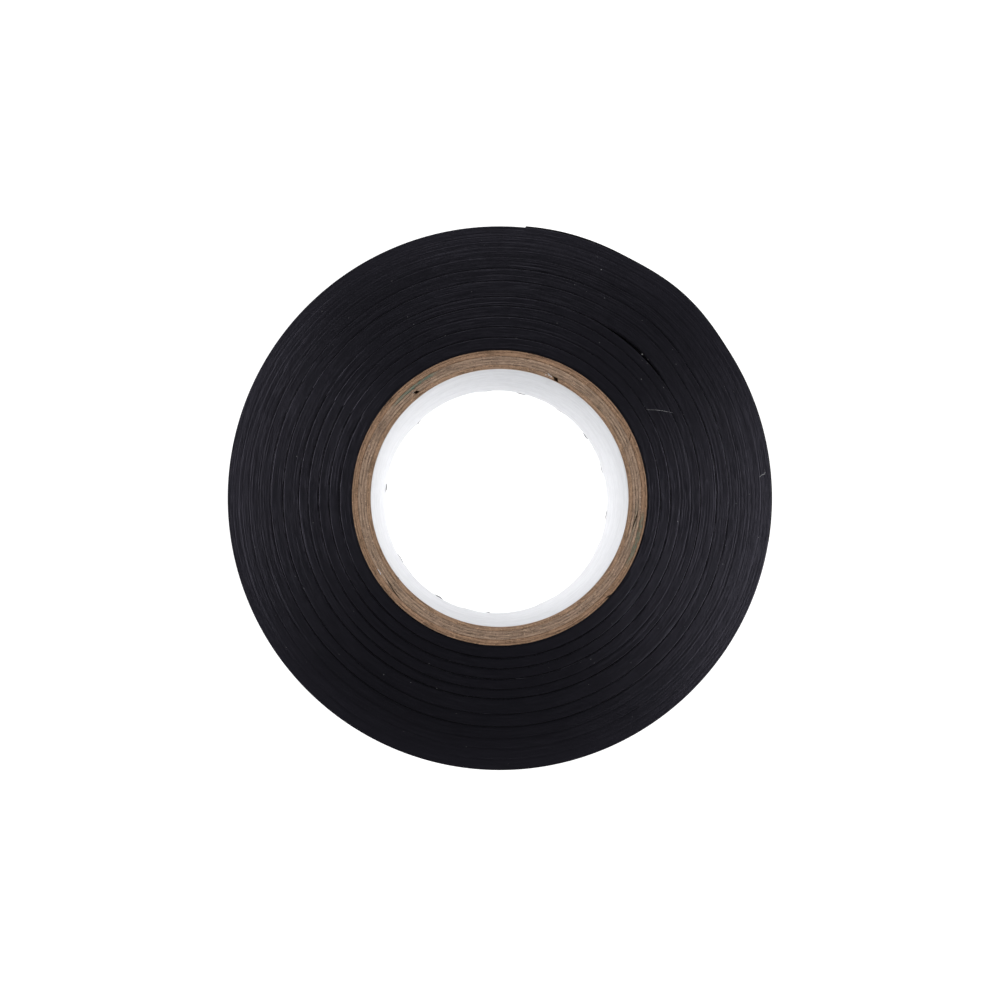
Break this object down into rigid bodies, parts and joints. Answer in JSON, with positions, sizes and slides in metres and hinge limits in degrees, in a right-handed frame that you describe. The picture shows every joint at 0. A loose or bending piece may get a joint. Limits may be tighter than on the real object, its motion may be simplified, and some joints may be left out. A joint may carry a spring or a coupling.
{
  "type": "electrical tape roll",
  "caption": "Roll of black PVC electrical tape, wound on a spiral paper core with a white liner, with a free end that peels off the outside of the roll.",
  "frame": {"origin": "on the axis of the bore, in the plane of the lower face that the roll rests on", "axes": "+Z along the bore, up from the lower face; the tape's free end is at 84.5 degrees from +X towards +Y, seen from above"},
  "size_m": [0.0679, 0.0679, 0.019],
  "materials": {
    "liner_paper": "matte",
    "kraft_paper": "matte",
    "pvc_film": "satin",
    "adhesive": "satin"
  },
  "bodies": {
    "roll": {"core_liner": "liner_paper", "core_ply_1": "kraft_paper", "core_ply_2": "kraft_paper", "core_ply_3": "kraft_paper", "core_ply_4": "kraft_paper", "core_ply_5": "kraft_paper", "core_skin_ply": "kraft_paper", "wound_tape": "pvc_film"},
    "tail_01": {"tail_film_01": "pvc_film", "tail_adhesive_01": "adhesive"},
    "tail_02": {"tail_film_02": "pvc_film", "tail_adhesive_02": "adhesive"},
    "tail_03": {"tail_film_03": "pvc_film", "tail_adhesive_03": "adhesive"},
    "tail_04": {"tail_film_04": "pvc_film", "tail_adhesive_04": "adhesive"},
    "tail_05": {"tail_film_05": "pvc_film", "tail_adhesive_05": "adhesive"},
    "tail_06": {"tail_film_06": "pvc_film", "tail_adhesive_06": "adhesive"},
    "tail_07": {"tail_film_07": "pvc_film", "tail_adhesive_07": "adhesive"},
    "tail_08": {"tail_film_08": "pvc_film", "tail_adhesive_08": "adhesive"},
    "tail_09": {"tail_film_09": "pvc_film", "tail_adhesive_09": "adhesive"},
    "tail_10": {"tail_film_10": "pvc_film", "tail_adhesive_10": "adhesive"},
    "tail_11": {"tail_film_11": "pvc_film", "tail_adhesive_11": "adhesive"},
    "tail_12": {"tail_film_12": "pvc_film", "tail_adhesive_12": "adhesive"}
  },
  "joints": [
    {"name": "tail_peel", "type": "hinge", "parent": "roll", "child": "tail_01", "pos_m": [0.03383, -0.00324, 0.0095], "axis": [0, 0, -1], "range_deg": [0, 15]},
    {"name": "tail_bend_02", "type": "hinge", "parent": "tail_01", "child": "tail_02", "pos_m": [0.03396, 0.0012, 0.0095], "axis": [0, 0, -1], "range_deg": [0, 15]},
    {"name": "tail_bend_03", "type": "hinge", "parent": "tail_02", "child": "tail_03", "pos_m": [0.03352, 0.00563, 0.0095], "axis": [0, 0, -1], "range_deg": [0, 15]},
    {"name": "tail_bend_04", "type": "hinge", "parent": "tail_03", "child": "tail_04", "pos_m": [0.0325, 0.00996, 0.0095], "axis": [0, 0, -1], "range_deg": [0, 15]},
    {"name": "tail_bend_05", "type": "hinge", "parent": "tail_04", "child": "tail_05", "pos_m": [0.03092, 0.01412, 0.0095], "axis": [0, 0, -1], "range_deg": [0, 15]},
    {"name": "tail_bend_06", "type": "hinge", "parent": "tail_05", "child": "tail_06", "pos_m": [0.02882, 0.01803, 0.0095], "axis": [0, 0, -1], "range_deg": [0, 15]},
    {"name": "tail_bend_07", "type": "hinge", "parent": "tail_06", "child": "tail_07", "pos_m": [0.02622, 0.02164, 0.0095], "axis": [0, 0, -1], "range_deg": [0, 15]},
    {"name": "tail_bend_08", "type": "hinge", "parent": "tail_07", "child": "tail_08", "pos_m": [0.02317, 0.02488, 0.0095], "axis": [0, 0, -1], "range_deg": [0, 15]},
    {"name": "tail_bend_09", "type": "hinge", "parent": "tail_08", "child": "tail_09", "pos_m": [0.01973, 0.0277, 0.0095], "axis": [0, 0, -1], "range_deg": [0, 15]},
    {"name": "tail_bend_10", "type": "hinge", "parent": "tail_09", "child": "tail_10", "pos_m": [0.01595, 0.03004, 0.0095], "axis": [0, 0, -1], "range_deg": [0, 15]},
    {"name": "tail_bend_11", "type": "hinge", "parent": "tail_10", "child": "tail_11", "pos_m": [0.01189, 0.03186, 0.0095], "axis": [0, 0, -1], "range_deg": [0, 15]},
    {"name": "tail_bend_12", "type": "hinge", "parent": "tail_11", "child": "tail_12", "pos_m": [0.00763, 0.03315, 0.0095], "axis": [0, 0, -1], "range_deg": [0, 15]}
  ],
  "couplings": [
    {"joint": "tail_bend_02", "follows": "tail_peel", "ratio": 1},
    {"joint": "tail_bend_03", "follows": "tail_peel", "ratio": 1},
    {"joint": "tail_bend_04", "follows": "tail_peel", "ratio": 1},
    {"joint": "tail_bend_05", "follows": "tail_peel", "ratio": 1},
    {"joint": "tail_bend_06", "follows": "tail_peel", "ratio": 1},
    {"joint": "tail_bend_07", "follows": "tail_peel", "ratio": 1},
    {"joint": "tail_bend_08", "follows": "tail_peel", "ratio": 1},
    {"joint": "tail_bend_09", "follows": "tail_peel", "ratio": 1},
    {"joint": "tail_bend_10", "follows": "tail_peel", "ratio": 1},
    {"joint": "tail_bend_11", "follows": "tail_peel", "ratio": 1},
    {"joint": "tail_bend_12", "follows": "tail_peel", "ratio": 1}
  ]
}
